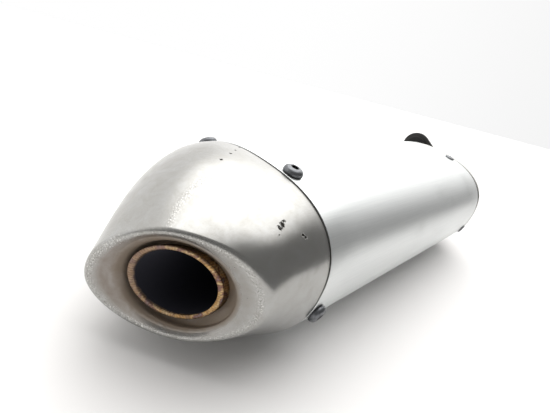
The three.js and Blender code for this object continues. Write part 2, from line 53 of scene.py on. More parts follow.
ovalSet = {"width": 120.0, "height": 90.0, "power": 2.45, "steps": 288}


# Meshes

def signedPower(value, power):
    return np.sign(value) * np.abs(value) ** power


# Superellipse: x = a cos^(2/p), z = b sin^(2/p), both drawn in by the inset
def ovalAt(angle, inset=0.0):
    x = (ovalSet["width"] / 2 - inset) * signedPower(np.cos(angle), 2 / ovalSet["power"])
    z = (ovalSet["height"] / 2 - inset) * signedPower(np.sin(angle), 2 / ovalSet["power"])
    return x, z


def ovalAngles(steps):
    return np.linspace(0, 2 * math.pi, steps, endpoint=False)


def quarterTurn(steps):
    return np.linspace(0, math.pi / 2, steps)


# Rows of points become a closed skin: row i joins row i + 1, and the last row joins the first.
# Without wrap the first and the last row each lie in one point, which closes the ends
def gridPiece(name, rows, wrap=True, attributes=None, sharp=32.0):
    count, steps = rows.shape[:2]
    points = (start + rows * mm).reshape(-1, 3)
    number = np.arange(count * steps).reshape(count, steps)
    below = number if wrap else number[:-1]
    above = np.roll(number, -1, axis=0) if wrap else number[1:]
    corners = [below, above, np.roll(above, -1, axis=1), np.roll(below, -1, axis=1)]
    quads = np.stack(corners, axis=-1).reshape(-1, 4)
    a, b, c, d = (points[quads[:, i]] for i in range(4))
    volume = np.einsum("ij,ij->", a, np.cross(b, c)) + np.einsum("ij,ij->", a, np.cross(c, d))
    if volume < 0:
        quads = quads[:, ::-1]
    mesh = bpy.data.meshes.new(name)
    mesh.from_pydata(points.tolist(), [], quads.tolist())
    for key, value in (attributes or {}).items():
        stored = mesh.attributes.new(key, "FLOAT", "POINT")
        stored.data.foreach_set("value", np.ascontiguousarray(value, dtype=np.float32).ravel())
    shell = bmesh.new()
    shell.from_mesh(mesh)
    bmesh.ops.remove_doubles(shell, verts=shell.verts, dist=2e-6)
    shell.to_mesh(mesh)
    shell.free()
    mesh.polygons.foreach_set("use_smooth", np.ones(len(mesh.polygons), dtype=bool))
    mesh.set_sharp_from_angle(angle=math.radians(sharp))
    piece = bpy.data.objects.new(name, mesh)
    bpy.context.collection.objects.link(piece)
    return piece


# An outline of (inset, y) carried round the oval
def sweepOval(outline, steps):
    angle = ovalAngles(steps)
    rows = []
    for inset, y in outline:
        x, z = ovalAt(angle, inset)
        rows.append(np.stack([x, np.full_like(x, y), z], axis=-1))
    return np.array(rows)


# A merged copy of a CAD piece, with its hard edges rounded
def roundedCopy(node, edge, segments=2):
    piece = bpy.data.objects.new(node + "_finished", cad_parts[node].data.copy())
    bpy.context.collection.objects.link(piece)
    shell = bmesh.new()
    shell.from_mesh(piece.data)
    bmesh.ops.remove_doubles(shell, verts=shell.verts, dist=1e-6)
    bmesh.ops.dissolve_limit(shell, angle_limit=math.radians(1.0), verts=shell.verts, edges=shell.edges)
    shell.to_mesh(piece.data)
    shell.free()
    piece.data.polygons.foreach_set("use_smooth", np.ones(len(piece.data.polygons), dtype=bool))
    piece.data.set_sharp_from_angle(angle=math.radians(32))
    bevel = piece.modifiers.new("edges", "BEVEL")
    bevel.width = edge * mm
    bevel.segments = segments
    bevel.limit_method = "ANGLE"
    bevel.angle_limit = math.radians(32)
    return piece


def fit(piece, material, slot, *nodes):
    piece.data.materials.clear()
    piece.data.materials.append(material)
    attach(piece, "root")
    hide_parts(*nodes)


# Materials

def linear(code):
    parts = [int(code[i:i + 2], 16) / 255 for i in (1, 3, 5)]
    return tuple(c / 12.92 if c <= 0.04045 else ((c + 0.055) / 1.055) ** 2.4 for c in parts) + (1.0,)


def addNode(tree, kind, settings=None, values=None, links=None):
    node = tree.nodes.new(kind)
    for key, value in (settings or {}).items():
        setattr(node, key, value)
    for key, value in (values or {}).items():
        node.inputs[key].default_value = value
    for key, source in (links or {}).items():
        tree.links.new(source, node.inputs[key])
    return node


def newMaterial(name, metallic, roughness, colour, **more):
    material = bpy.data.materials.new(name)
    material.use_nodes = True
    tree = material.node_tree
    tree.nodes.clear()
    values = {"Base Color": linear(colour), "Metallic": metallic, "Roughness": roughness, **more}
    surface = addNode(tree, "ShaderNodeBsdfPrincipled", values=values)
    addNode(tree, "ShaderNodeOutputMaterial", links={"Surface": surface.outputs[0]})
    place = addNode(tree, "ShaderNodeTexCoord").outputs["Object"]
    return material, tree, surface, place


# Grain: noise on stretched coordinates. size is the grain's width in mm along x, y and z
def grain(tree, place, size, detail=3.0, rough=0.6, distortion=0.0):
    scale = tuple(1 / (s * mm) for s in size)
    spread = addNode(tree, "ShaderNodeMapping", values={"Scale": scale}, links={"Vector": place})
    values = {"Scale": 1.0, "Detail": detail, "Roughness": rough, "Distortion": distortion}
    noise = addNode(tree, "ShaderNodeTexNoise", values=values, links={"Vector": spread.outputs[0]})
    return noise.outputs["Fac"]


def ramp(tree, source, low, high, out=(0.0, 1.0)):
    values = {"From Min": low, "From Max": high, "To Min": out[0], "To Max": out[1]}
    return addNode(tree, "ShaderNodeMapRange", {"clamp": True}, values, {"Value": source}).outputs[0]


def blendColour(tree, amount, first, second):
    node = addNode(tree, "ShaderNodeMix", {"data_type": "RGBA"})
    for socket, value in ((node.inputs[0], amount), (node.inputs[6], first), (node.inputs[7], second)):
        if isinstance(value, (float, tuple)):
            socket.default_value = value
        else:
            tree.links.new(value, socket)
    return node.outputs[2]


# The value that a mesh holds at each vertex under a name
def layer(tree, name):
    return addNode(tree, "ShaderNodeAttribute", {"attribute_name": name}).outputs["Fac"]


def calc(tree, operation, *inputs):
    node = addNode(tree, "ShaderNodeMath", {"operation": operation})
    for socket, value in zip(node.inputs, inputs):
        if isinstance(value, (int, float)):
            socket.default_value = value
        else:
            tree.links.new(value, socket)
    return node.outputs[0]


def addBump(tree, surface, height, depth, normal=None, cutIn=False):
    links = {"Height": height}
    if normal:
        links["Normal"] = normal
    values = {"Strength": 1.0, "Distance": depth * mm}
    node = addNode(tree, "ShaderNodeBump", {"invert": cutIn}, values, links)
    tree.links.new(node.outputs[0], surface.inputs["Normal"])
    return node.outputs[0]


# Sheet aluminium with a satin brush run along the sleeve: long fine streaks and a soft broken gloss
brushedSet = {
    "colour": "#d5d8d8",
    "roughness": 0.38,
    "light": "#dcdedd",
    "dark": "#d0d3d3",
    "smudged": "#bfc1c0",
    "streak": (0.35, 40.0, 0.35),
    "fine": (0.12, 9.0, 0.12),
    "smudge": (22.0, 60.0, 22.0),
    "depth": 0.006,
}


def brushedAluminium():
    look = brushedSet
    material, tree, surface, place = newMaterial("brushed_aluminium", 1.0, look["roughness"], look["colour"])
    streak = grain(tree, place, look["streak"], 4.0, 0.65)
    fine = grain(tree, place, look["fine"], 2.0)
    smudge = grain(tree, place, look["smudge"], 3.0, 0.55, 0.4)
    uneven = ramp(tree, streak, 0.3, 0.7, (-0.03, 0.03))
    gloss = calc(tree, "ADD", uneven, ramp(tree, smudge, 0.35, 0.7, (0.36, 0.42)))
    tree.links.new(gloss, surface.inputs["Roughness"])
    tone = blendColour(tree, ramp(tree, streak, 0.35, 0.7), linear(look["dark"]), linear(look["light"]))
    tone = blendColour(tree, ramp(tree, smudge, 0.55, 0.75, (0.0, 0.4)), tone, linear(look["smudged"]))
    tree.links.new(tone, surface.inputs["Base Color"])
    height = calc(tree, "ADD", calc(tree, "MULTIPLY", streak, 0.6), calc(tree, "MULTIPLY", fine, 0.4))
    addBump(tree, surface, height, look["depth"])
    return material


# Aluminium sheet pressed to shape and polished by hand: soft waves, worn bends with a painted highlight
# glint, nicks, and stains darkened further with painted shade on the face
pressedSet = {
    "colour": "#b9b8b3",
    "roughness": 0.27,
    "light": "#a5a5a3",
    "cloudy": "#9d9c98",
    "drawn": "#918f89",
    "faceStainAndShade": "#776a60",
    "pit": "#6a655d",
    "paintedGlint": "#efeeea",
    "soot": "#7d7062",
    "seam": "#24211d",
    "nick": "#24231f",
    "waveDepth": 0.3,
    "wornDepth": 0.11,
    "nickDepth": 0.15,
}


def pressedAluminium():
    look = pressedSet
    material, tree, surface, place = newMaterial("pressed_aluminium", 1.0, look["roughness"], look["colour"])
    wearAndGlint, soot, inFace, rim = (layer(tree, key) for key in ("wearAndGlint", "soot", "inFace", "rim"))
    wave = grain(tree, place, (18.0, 18.0, 18.0), 2.0, 0.5)
    cloud = grain(tree, place, (8.0, 8.0, 8.0), 4.0, 0.6, 0.6)
    grit = grain(tree, place, (0.5, 0.5, 0.5), 3.0, 0.75)
    drawn = grain(tree, place, (0.6, 9.0, 0.6), 3.0, 0.6)
    pits = calc(tree, "MULTIPLY", ramp(tree, grit, 0.44, 0.36, (0.0, 0.8)), wearAndGlint)
    # Painted highlight: near-white glints painted into the colour where the cap is worn
    paintedGlints = calc(tree, "MULTIPLY", ramp(tree, grit, 0.56, 0.64), wearAndGlint)
    # Painted shade mixed with real stain: the face colour is darkened, most towards -X
    faceStainAndShade = calc(tree, "MULTIPLY", inFace, ramp(tree, cloud, 0.3, 0.7, (0.55, 0.9)))
    deep = calc(tree, "ADD", soot, ramp(tree, cloud, 0.3, 0.7, (-0.2, 0.16)))
    deep = ramp(tree, deep, 0.15, 0.95)
    nicks = nickMask(tree, place)
    tone = blendColour(tree, ramp(tree, cloud, 0.35, 0.7), linear(look["light"]), linear(look["cloudy"]))
    tone = blendColour(tree, ramp(tree, drawn, 0.5, 0.8, (0.0, 0.35)), tone, linear(look["drawn"]))
    # The seam mark is grime with painted shade along the joint
    marks = {"faceStainAndShade": faceStainAndShade, "pit": pits, "paintedGlint": paintedGlints, "soot": deep, "seam": rim, "nick": nicks}
    for key, amount in marks.items():
        tone = blendColour(tree, amount, tone, linear(look[key]))
    tree.links.new(tone, surface.inputs["Base Color"])
    tree.links.new(ramp(tree, deep, 0.0, 1.0, (1.0, 0.35)), surface.inputs["Metallic"])
    gloss = ramp(tree, cloud, 0.3, 0.7, (0.2, 0.26))
    for amount, duller in ((pits, 0.25), (deep, 0.22), (inFace, 0.1), (nicks, 0.3)):
        gloss = calc(tree, "ADD", gloss, calc(tree, "MULTIPLY", amount, duller))
    tree.links.new(gloss, surface.inputs["Roughness"])
    wavy = addBump(tree, surface, wave, look["waveDepth"])
    worn = addBump(tree, surface, calc(tree, "MULTIPLY", grit, wearAndGlint), look["wornDepth"], wavy)
    addBump(tree, surface, nicks, look["nickDepth"], worn, True)
    return material


# Nicks: short rows of ragged spots on the cap, each row (first spot, step to the next, spots, size), in mm
nickSet = {
    "rows": (
        ((38.0, -29.0, 35.0), (1.0, -2.0, -1.0), 2, 1.25),
        ((37.0, -27.0, 36.0), (4.0, -6.0, -4.0), 2, 0.9),
        ((46.0, -18.0, 31.5), (-1.0, -1.5, 1.0), 2, 0.9),
        ((50.0, -32.0, 24.0), (1.5, -0.5, -2.0), 2, 0.7),
        ((-9.5, -26.0, 42.5), (-3.5, 9.5, 1.0), 2, 0.7),
        ((-16.0, -10.0, 44.0), (-3.0, 6.5, 0.0), 2, 0.6),
    ),
    "ragged": 1.6,
    "core": 0.5,
    "fade": 2.6,
}


def nickMask(tree, place):
    ragged = grain(tree, place, (nickSet["ragged"],) * 3, 4.0, 0.7)
    total = None
    for first, step, spots, size in nickSet["rows"]:
        for number in range(spots):
            middle = start + (np.array(first) + number * np.array(step)) * mm
            away = addNode(tree, "ShaderNodeVectorMath", {"operation": "DISTANCE"}, links={0: place})
            away.inputs[1].default_value = tuple(middle)
            core, fade = nickSet["core"] * size * mm, nickSet["fade"] * size * mm
            spot = ramp(tree, away.outputs["Value"], core, fade, (0.66, 0.0))
            total = spot if total is None else calc(tree, "MAXIMUM", total, spot)
    return ramp(tree, calc(tree, "ADD", total, calc(tree, "SUBTRACT", ragged, 0.5)), 0.42, 0.55)


# Stainless tube that has run hot: straw, bronze, violet and grey tints over fine turned ribs, soot inside,
# and painted shade that dulls the tints on the -X side
tintSet = {
    "tints": (
        (0.0, "#6e5f52"), (0.25, "#94775a"), (0.42, "#b8925f"), (0.52, "#c3ac84"),
        (0.62, "#8d6a50"), (0.75, "#7a5f5e"), (1.0, "#8b8f8c"),
    ),
    "paintedShadeSide": "#83726a",
    "groove": "#4d3b2d",
    "soot": "#1d1d28",
    "ribs": 90.0,
}


def heatTintedSteel():
    material, tree, surface, place = newMaterial("heat_tinted_steel", 1.0, 0.35, "#c69a62")
    depth, turn = layer(tree, "depth"), layer(tree, "turn")
    patch = grain(tree, place, (7.0, 7.0, 7.0), 3.0, 0.6, 0.5)
    tint = addNode(tree, "ShaderNodeValToRGB", links={"Fac": ramp(tree, patch, 0.3, 0.7)})
    bar = tint.color_ramp
    while len(bar.elements) < len(tintSet["tints"]):
        bar.elements.new(0.5)
    for element, (position, code) in zip(bar.elements, tintSet["tints"]):
        element.position = position
        element.color = linear(code)
    # Painted shade: the tints turn a dull brown-grey towards the tube's -X side
    facing = ramp(tree, calc(tree, "COSINE", turn), -1.0, 0.5, (0.75, 0.0))
    tintAndShade = blendColour(tree, facing, tint.outputs[0], linear(tintSet["paintedShadeSide"]))
    rib = calc(tree, "SINE", calc(tree, "MULTIPLY", turn, tintSet["ribs"]))
    broken = grain(tree, place, (1.2, 1.2, 1.2), 3.0, 0.6)
    groove = ramp(tree, rib, -0.4, 1.0, (0.55, 0.0))
    ribbed = calc(tree, "MULTIPLY", groove, ramp(tree, broken, 0.35, 0.65))
    shade = blendColour(tree, ribbed, tintAndShade, linear(tintSet["groove"]))
    inside = calc(tree, "ADD", depth, ramp(tree, patch, 0.3, 0.7, (-0.03, 0.03)))
    sooty = ramp(tree, inside, 0.03, 0.12)
    shade = blendColour(tree, sooty, shade, linear(tintSet["soot"]))
    tree.links.new(shade, surface.inputs["Base Color"])
    tree.links.new(ramp(tree, sooty, 0.0, 1.0, (0.32, 0.9)), surface.inputs["Roughness"])
    tree.links.new(ramp(tree, sooty, 0.0, 1.0, (1.0, 0.0)), surface.inputs["Metallic"])
    addBump(tree, surface, calc(tree, "MULTIPLY", rib, calc(tree, "SUBTRACT", 1.0, sooty)), 0.04)
    return material


# Zinc-plated steel fastener, cold headed: smooth grey, with painted shade in the hollow of the head
def platedSteel():
    material, tree, surface, place = newMaterial("plated_steel", 1.0, 0.36, "#6a6c6f")
    grit = grain(tree, place, (0.8, 0.8, 0.8), 3.0, 0.6)
    hollowShade = layer(tree, "hollowShade")
    tone = blendColour(tree, ramp(tree, grit, 0.35, 0.7), linear("#7b7d80"), linear("#55575a"))
    # Painted shade: the hollow in the head is coloured near black
    tone = blendColour(tree, hollowShade, tone, linear("#141416"))
    tree.links.new(tone, surface.inputs["Base Color"])
    tree.links.new(ramp(tree, grit, 0.3, 0.7, (0.3, 0.44)), surface.inputs["Roughness"])
    addBump(tree, surface, grit, 0.01)
    return material


# Drawn stainless tube with a fine lengthwise grain
def drawnSteel():
    material, tree, surface, place = newMaterial("drawn_stainless_steel", 1.0, 0.32, "#a2a3a4")
    streak = grain(tree, place, (0.5, 14.0, 0.5), 3.0, 0.6)
    cloud = grain(tree, place, (14.0, 14.0, 14.0), 3.0, 0.6)
    tone = blendColour(tree, ramp(tree, cloud, 0.35, 0.7), linear("#abacad"), linear("#8d8a85"))
    tree.links.new(tone, surface.inputs["Base Color"])
    tree.links.new(ramp(tree, streak, 0.3, 0.7, (0.25, 0.42)), surface.inputs["Roughness"])
    addBump(tree, surface, streak, 0.01)
    return material


# Punched core black with exhaust soot
def sootedSteel():
    material, tree, surface, place = newMaterial("sooted_steel", 0.0, 0.9, "#121216")
    cloud = grain(tree, place, (3.0, 6.0, 3.0), 4.0, 0.7)
    tone = blendColour(tree, ramp(tree, cloud, 0.35, 0.7), linear("#1a1a22"), linear("#252529"))
    tree.links.new(tone, surface.inputs["Base Color"])
    addBump(tree, surface, cloud, 0.05)
    return material


# Silicone sealant squeezed out of the joint and smoothed: dull dark grey
def siliconeSealant():
    material, tree, surface, place = newMaterial("silicone_sealant", 0.0, 0.85, "#1d1d1a", **{"IOR": 1.43})
    grit = grain(tree, place, (1.2, 1.2, 1.2), 3.0, 0.6)
    tone = blendColour(tree, ramp(tree, grit, 0.35, 0.7), linear("#151512"), linear("#2a2925"))
    tree.links.new(tone, surface.inputs["Base Color"])
    addBump(tree, surface, grit, 0.08)
    return material


# Steel plate with a baked satin black paint: fine orange peel under a little grey dust
def satinBlackPaint():
    material, tree, surface, place = newMaterial("satin_black_paint", 0.0, 0.42, "#1f1f1e", **{"IOR": 1.5})
    peel = grain(tree, place, (1.1, 1.1, 1.1), 2.0, 0.5)
    dust = grain(tree, place, (6.0, 6.0, 6.0), 4.0, 0.65)
    tone = blendColour(tree, ramp(tree, dust, 0.45, 0.75), linear("#1c1c1b"), linear("#2b2b29"))
    tree.links.new(tone, surface.inputs["Base Color"])
    tree.links.new(ramp(tree, dust, 0.3, 0.7, (0.38, 0.5)), surface.inputs["Roughness"])
    addBump(tree, surface, peel, 0.03)
    return material


# Moulded nitrile rubber: near black, dull, with a dry bloom
def mouldedRubber():
    material, tree, surface, place = newMaterial("moulded_rubber", 0.0, 0.7, "#151515", **{"IOR": 1.52})
    bloom = grain(tree, place, (4.0, 4.0, 4.0), 4.0, 0.65)
    tone = blendColour(tree, ramp(tree, bloom, 0.45, 0.75), linear("#131313"), linear("#232322"))
    tree.links.new(tone, surface.inputs["Base Color"])
    addBump(tree, surface, bloom, 0.04)
    return material


# Packed glass wool: pale straw-coloured fibres lying every way
def packedGlassWool():
    material, tree, surface, place = newMaterial("packed_glass_wool", 0.0, 0.95, "#dfd3a0")
    fibre = grain(tree, place, (0.7, 6.0, 0.7), 4.0, 0.7, 1.2)
    tone = blendColour(tree, ramp(tree, fibre, 0.35, 0.7), linear("#c9bb85"), linear("#ece3bd"))
    tree.links.new(tone, surface.inputs["Base Color"])
    addBump(tree, surface, fibre, 0.4)
    return material


sleeveFinish = brushedAluminium()
capFinish = pressedAluminium()
tubeFinish = heatTintedSteel()
fastenerFinish = platedSteel()
pipeFinish = drawnSteel()
coreFinish = sootedSteel()
sealFinish = siliconeSealant()
paintFinish = satinBlackPaint()
rubberFinish = mouldedRubber()
woolFinish = packedGlassWool()
print("materials made")


# Sleeve: a straight oval tube with softened edges

sleeveSet = {"length": 300.0, "wall": 1.5, "edge": 0.35}


def makeSleeve():
    edge, wall, length = sleeveSet["edge"], sleeveSet["wall"], sleeveSet["length"]
    turn = quarterTurn(5)
    outline = [(edge - edge * math.sin(t), edge - edge * math.cos(t)) for t in turn]
    outline += [(0.0, y) for y in np.linspace(length * 0.1, length * 0.9, 9)]
    outline += [(edge - edge * math.cos(t), length - edge + edge * math.sin(t)) for t in turn]
    outline += [(wall, length), (wall, 0.0)]
    return gridPiece("sleeve_skin", sweepOval(outline, ovalSet["steps"]))


fit(makeSleeve(), sleeveFinish, "brushed_aluminium", "sleeve")


# Seals: a bead that stands a little below the sleeve's outside

sealSet = {"width": 1.0, "inset": 0.2, "bulge": 0.15, "gap": 0.3, "depth": 1.3}


def makeSeal(name, y):
    width, inset, bulge, depth = (sealSet[key] for key in ("width", "inset", "bulge", "depth"))
    turn = np.linspace(0, math.pi, 7)
    outline = [(inset + bulge - bulge * math.sin(t), y + width * (1 - math.cos(t)) / 2) for t in turn]
    outline += [(inset + depth, y + width), (inset + depth, y)]
    return gridPiece(name, sweepOval(outline, ovalSet["steps"]))


sealSpace = sealSet["width"] + 2 * sealSet["gap"]
fit(makeSeal("outlet_seal_bead", -sealSet["gap"] - sealSet["width"]), sealFinish, "sealant", "outlet_seal")
fit(makeSeal("inlet_seal_bead", sleeveSet["length"] + sealSet["gap"]), sealFinish, "sealant", "inlet_seal")


# Outlet cap: its slanted face is centred on the tube

capSet = {
    "wall": 1.8,
    "spigot": 20.0,
    "edgeRoll": 0.5,
    "faceMiddle": -66.93,
    "slant": 33.5,
    "faceX": 23.5,
    "faceZ": -1.5,
    "faceWidth": 68.0,
    "faceHeight": 52.0,
    "facePower": 1.8,
    "faceTilt": 22.0,
    "faceBend": 2.6,
    "bendGrowth": 6.0,
    "dish": 1.5,
    "shoulder": 0.5,
    "shoulderDrop": 0.25,
    "shoulderPull": 0.75,
    "neckX": 22.0,
    "neckRadius": 21.5,
    "neckBend": 2.0,
    "neckDepth": 5.0,
    "collar": 6.0,
}

tubeSet = {
    "x": 20.0,
    "setback": 3.5,
    "bore": 32.0,
    "wall": 1.5,
    "lip": 0.75,
    "inside": 30.0,
    "straight": -20.0,
    "sooted": 16.0,
    "steps": 192,
}

slant = math.radians(capSet["slant"])
faceOut = np.array([math.sin(slant), -math.cos(slant), 0.0])


def faceDepth(x):
    return capSet["faceMiddle"] + math.tan(slant) * (x - tubeSet["x"])


# The bend round the face opens towards the +X end: growth = g max(0, cos)^4
def bendGrowth(angle):
    return capSet["bendGrowth"] * np.maximum(0, np.cos(angle)) ** 4


# Crest of the face: a tilted superellipse seen along the sleeve, laid on the slanted plane
def crestAt(angle):
    u = (capSet["faceWidth"] - bendGrowth(angle)) / 2 * signedPower(np.cos(angle), 2 / capSet["facePower"])
    v = capSet["faceHeight"] / 2 * signedPower(np.sin(angle), 2 / capSet["facePower"])
    tilt = math.radians(capSet["faceTilt"])
    x = capSet["faceX"] + u * math.cos(tilt) - v * math.sin(tilt)
    z = capSet["faceZ"] + u * math.sin(tilt) + v * math.cos(tilt)
    return np.stack([x, faceDepth(x), z], axis=-1)


def unit(vectors):
    return vectors / np.linalg.norm(vectors, axis=-1, keepdims=True)


# Cubic curve: (1 - t)^3 a + 3 (1 - t)^2 t b + 3 (1 - t) t^2 c + t^3 d
def cubic(t, a, b, c, d):
    return (1 - t) ** 3 * a + 3 * (1 - t) ** 2 * t * b + 3 * (1 - t) * t ** 2 * c + t ** 3 * d


# The outside of the cap: a straight start behind the seam, a cubic curve in to the crest, a bend of
# constant radius over it, the dished face, then the neck and the collar round the tube
def capProfile(angle):
    roll = capSet["edgeRoll"]
    edge = -sealSpace
    ringX, ringZ = ovalAt(angle)
    first = np.stack([ringX, np.full_like(ringX, edge - roll), ringZ], axis=-1)
    crest = crestAt(angle)
    shoulder = first.copy()
    ahead = np.minimum(0, np.cos(angle)) ** 2
    shoulder[:, 1] = crest[:, 1] * (capSet["shoulder"] - capSet["shoulderDrop"] * ahead)
    along = crestAt(angle + 1e-3) - crestAt(angle - 1e-3)
    outward = unit(np.cross(along, faceOut))
    side = unit(shoulder - crest)
    bendEnd = np.arctan2(-(side @ faceOut), np.einsum("ij,ij->i", side, outward))
    bendRadius = (capSet["faceBend"] + bendGrowth(angle))[:, None]
    middle = crest - bendRadius * faceOut

    def onBend(turn):
        return middle + bendRadius * (np.cos(turn)[:, None] * faceOut + np.sin(turn)[:, None] * outward)

    end = onBend(bendEnd)
    reach = capSet["shoulderPull"] * np.linalg.norm(end - shoulder, axis=-1)[:, None]
    pullOut = first + capSet["shoulderPull"] * (shoulder - first)
    pullIn = end + reach * (np.cos(bendEnd)[:, None] * outward - np.sin(bendEnd)[:, None] * faceOut)
    rows, tags = [], []
    for t in quarterTurn(5)[:-1]:
        x, z = ovalAt(angle, roll * (1 - math.sin(t)))
        rows.append(np.stack([x, np.full_like(x, edge - roll * (1 - math.cos(t))), z], axis=-1))
        tags.append("edge")
    for t in np.linspace(0, 1, 64):
        rows.append(cubic(t, first, pullOut, pullIn, end))
        tags.append("side")
    for t in np.linspace(1, 0, 15)[1:]:
        rows.append(onBend(bendEnd * t))
        tags.append("bend")

    def onCircle(middleX, radius, depth):
        bearing = np.arctan2(crest[:, 2] - capSet["faceZ"], crest[:, 0] - middleX)
        x = middleX + radius * np.cos(bearing)
        return np.stack([x, faceDepth(x) + depth, capSet["faceZ"] + radius * np.sin(bearing)], axis=-1)

    neck, bend, dish = capSet["neckRadius"], capSet["neckBend"], capSet["dish"]
    lip = onCircle(capSet["neckX"], neck + bend, 0.0)
    for t in np.linspace(0, 1, 22)[1:]:
        point = crest + t * (lip - crest)
        point[:, 1] += dish * t ** 1.6
        rows.append(point)
        tags.append("face")
    for t in quarterTurn(9)[1:]:
        radius = neck + bend * (1 - math.sin(t))
        rows.append(onCircle(capSet["neckX"], radius, dish + bend * (1 - math.cos(t))))
        tags.append("neck")
    collar = tubeSet["bore"] / 2 + tubeSet["wall"] + sealSet["gap"]
    neckEnd = dish + bend + capSet["neckDepth"]
    funnel = neck - collar
    for t in np.linspace(0, 1, 8)[1:]:
        rows.append(onCircle(capSet["neckX"], neck, dish + bend + t * (neckEnd - funnel - dish - bend)))
        tags.append("recess")
    last = rows[-1]
    for t in quarterTurn(8)[1:]:
        share = 1 - math.cos(t)
        target = onCircle(tubeSet["x"], collar, neckEnd)
        point = last + (target - last) * share
        point[:, 1] = last[:, 1] + (target[:, 1] - last[:, 1]) * math.sin(t)
        rows.append(point)
        tags.append("recess")
    rows.append(onCircle(tubeSet["x"], collar, neckEnd + capSet["collar"]))
    tags.append("recess")
    return np.array(rows), tags


# The same rows moved along their own normals
def offsetRows(rows, distance):
    forward = np.gradient(rows, axis=0)
    across = np.roll(rows, -1, axis=1) - np.roll(rows, 1, axis=1)
    return rows + unit(np.cross(forward, across)) * distance


# A spigot's inside or outside, from its tip back to the edge at the seam
def spigotRows(inset, tip, edge, steps):
    return sweepOval([(inset, tip), (inset, edge)], steps)


# Where the cap is worn, with a painted highlight glint; sooted; stained, with painted shade on the face that
# deepens towards -X; and grimy, with painted shade along the seam. A bell is exp(-(distance / width)^power)
layerSet = {
    "steps": 480,
    "crestWidth": 1.8,
    "seamWidth": 1.2,
    "wornAngle": 1.56,
    "wornAngleWidth": 0.045,
    "wornMiddle": -55.0,
    "wornReach": 20.0,
    "sootReach": 3.5,
    "grimeAndShadeFrom": 0.5,
    "grimeAndShadeWidth": 0.7,
    "faceShadeStart": 40.0,
    "faceShadeRun": 50.0,
}


def bell(distance, width, power=2):
    return np.exp(-(distance / width) ** power)


def capLayers(skin, tags, angle):
    look = layerSet

    def among(*names):
        return np.isin(tags, names)[:, None]

    fromSeam = skin[..., 1] + sealSpace
    inRecess = among("face", "neck", "recess")
    wearAndGlint = bell(np.linalg.norm(skin - crestAt(angle), axis=-1), look["crestWidth"])
    wearAndGlint = np.maximum(wearAndGlint, bell(fromSeam, look["seamWidth"]) * among("side"))
    line = bell(skin[..., 1] - look["wornMiddle"], look["wornReach"], 4)
    line = line * bell(angle - look["wornAngle"], look["wornAngleWidth"])
    wearAndGlint = np.maximum(wearAndGlint, line * among("side", "bend"))
    wearAndGlint[among("neck", "recess")[:, 0]] *= 0.4
    radius = np.hypot(skin[..., 0] - capSet["neckX"], skin[..., 2] - capSet["faceZ"])
    soot = np.clip(1.1 - (radius - capSet["neckRadius"]) / look["sootReach"], 0, 1) * inRecess
    # Grime and painted shade: the cap's rolled edge and a band up its side are darkened along the joint
    rim = np.where(among("edge"), 1.0, 0.8 * bell(fromSeam + look["grimeAndShadeFrom"], look["grimeAndShadeWidth"]))
    rim *= among("edge", "side")
    # The face mask: exhaust stain and painted shade, the painted shade deepening towards -X
    inFace = np.clip((skin[..., 1] - faceDepth(skin[..., 0])) / 0.5, 0, 1) * inRecess
    inFace *= np.clip((look["faceShadeStart"] - skin[..., 0]) / look["faceShadeRun"], 0.25, 1)
    return {"wearAndGlint": wearAndGlint, "soot": soot, "inFace": inFace, "rim": rim}


def makeOutletCap():
    steps = layerSet["steps"]
    angle = ovalAngles(steps)
    skin, tags = capProfile(angle)
    inset = sleeveSet["wall"] + sealSet["gap"]
    inner = offsetRows(skin[4:], capSet["wall"])[::-1]
    outer = spigotRows(inset, capSet["spigot"], -sealSpace, steps)
    inside = spigotRows(inset + capSet["wall"], capSet["spigot"], -sealSpace, steps)[::-1]
    rows = np.concatenate([outer, skin, inner, inside])
    layers = {}
    for key, value in capLayers(skin, tags, angle).items():
        layers[key] = np.zeros(rows.shape[:2])
        layers[key][len(outer):len(outer) + len(skin)] = value
    return gridPiece("outlet_cap_skin", rows, attributes=layers, sharp=50.0)


fit(makeOutletCap(), capFinish, "pressed_aluminium", "outlet_cap")
print("outlet cap made")


# Outlet tube: cut to the slant of the face, edge rolled outwards, and joined to the core inside

# Profile points are (radius, y, 1 where y is measured from the slanted edge)
def makeOutletTube():
    steps = tubeSet["steps"]
    angle = ovalAngles(steps)
    bore, wall, lip = tubeSet["bore"] / 2, tubeSet["wall"], tubeSet["lip"]
    sooted, straight = tubeSet["sooted"], tubeSet["straight"]
    profile = [(bore, tubeSet["inside"], 0.0), (bore, straight, 0.0)]
    profile += [(bore, y, 1.0) for y in (sooted, 8.0, 4.0, 2.0, 1.2)]
    profile += [(bore + lip - lip * math.cos(t), lip - lip * math.sin(t), 1.0) for t in quarterTurn(6)]
    for t in np.linspace(0, math.pi, 9):
        profile.append((bore + wall + lip * math.sin(t), lip - lip * math.cos(t), 1.0))
    profile += [(bore + wall, 4.0, 1.0), (bore + wall, sooted, 1.0)]
    profile += [(bore + wall, straight, 0.0), (bore + wall, tubeSet["inside"], 0.0)]
    rows, depth = [], []
    for radius, y, follows in profile:
        x = tubeSet["x"] + radius * np.cos(angle)
        front = (faceDepth(x) + tubeSet["setback"]) * follows
        rows.append(np.stack([x, front + y, capSet["faceZ"] + radius * np.sin(angle)], axis=-1))
        behind = y / sooted if follows else 1.0
        depth.append(np.full(steps, behind if radius <= bore + lip else 0.0))
    layers = {"depth": np.clip(depth, 0, 1), "turn": np.tile(angle, (len(profile), 1))}
    return gridPiece("outlet_tube_finished", np.array(rows), attributes=layers)


fit(makeOutletTube(), tubeFinish, "heat_tinted_steel", "outlet_tube")


# Inlet cap: a rounded end plate with a collar for the inlet pipe

inletSet = {"rim": 4.0, "bend": 10.0, "pipeRadius": 20.8, "collar": 6.0}


